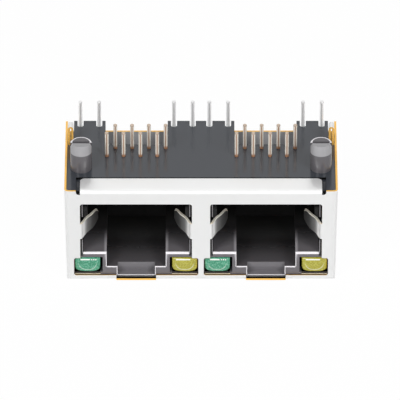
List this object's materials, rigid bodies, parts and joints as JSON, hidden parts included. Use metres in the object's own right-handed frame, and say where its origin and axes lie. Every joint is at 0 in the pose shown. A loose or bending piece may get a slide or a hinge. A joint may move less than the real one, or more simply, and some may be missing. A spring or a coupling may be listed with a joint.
{
  "type": "rj45 board jack",
  "caption": "Shielded modular network jack with side-by-side ports, indicator lamps, spring contacts and split board pegs, lying board side up.",
  "frame": {"origin": "centre of the footprint, on the shield's flat tab side", "axes": "+X along the row of ports, +Y from the port openings to the rear cover, +Z from the tab side up to the board side, where the pegs and tails point"},
  "size_m": [0.033, 0.0162, 0.0166],
  "materials": {
    "housing_plastic": "glossy black moulding",
    "carrier_plastic": "black moulding",
    "tinned_shield": "bright tin over folded copper alloy sheet, with bare cut edges",
    "gold_contact": "gold plated wire",
    "tinned_lead": "tinned square lead",
    "green_lamp": "clear tinted resin",
    "yellow_lamp": "clear tinted resin"
  },
  "bodies": {
    "root": {"housing": "housing_plastic", "front_shell": "tinned_shield", "rear_cover": "tinned_shield", "left_carrier": "carrier_plastic", "right_carrier": "carrier_plastic", "left_contact_1": "gold_contact", "left_contact_2": "gold_contact", "left_contact_3": "gold_contact", "left_contact_4": "gold_contact", "left_contact_5": "gold_contact", "left_contact_6": "gold_contact", "left_contact_7": "gold_contact", "left_contact_8": "gold_contact", "right_contact_1": "gold_contact", "right_contact_2": "gold_contact", "right_contact_3": "gold_contact", "right_contact_4": "gold_contact", "right_contact_5": "gold_contact", "right_contact_6": "gold_contact", "right_contact_7": "gold_contact", "right_contact_8": "gold_contact", "left_green_lamp": "green_lamp", "left_yellow_lamp": "yellow_lamp", "right_green_lamp": "green_lamp", "right_yellow_lamp": "yellow_lamp", "left_green_inner_lead": "tinned_lead", "left_green_outer_lead": "tinned_lead", "left_yellow_inner_lead": "tinned_lead", "left_yellow_outer_lead": "tinned_lead", "right_green_inner_lead": "tinned_lead", "right_green_outer_lead": "tinned_lead", "right_yellow_inner_lead": "tinned_lead", "right_yellow_outer_lead": "tinned_lead"}
  },
  "joints": []
}
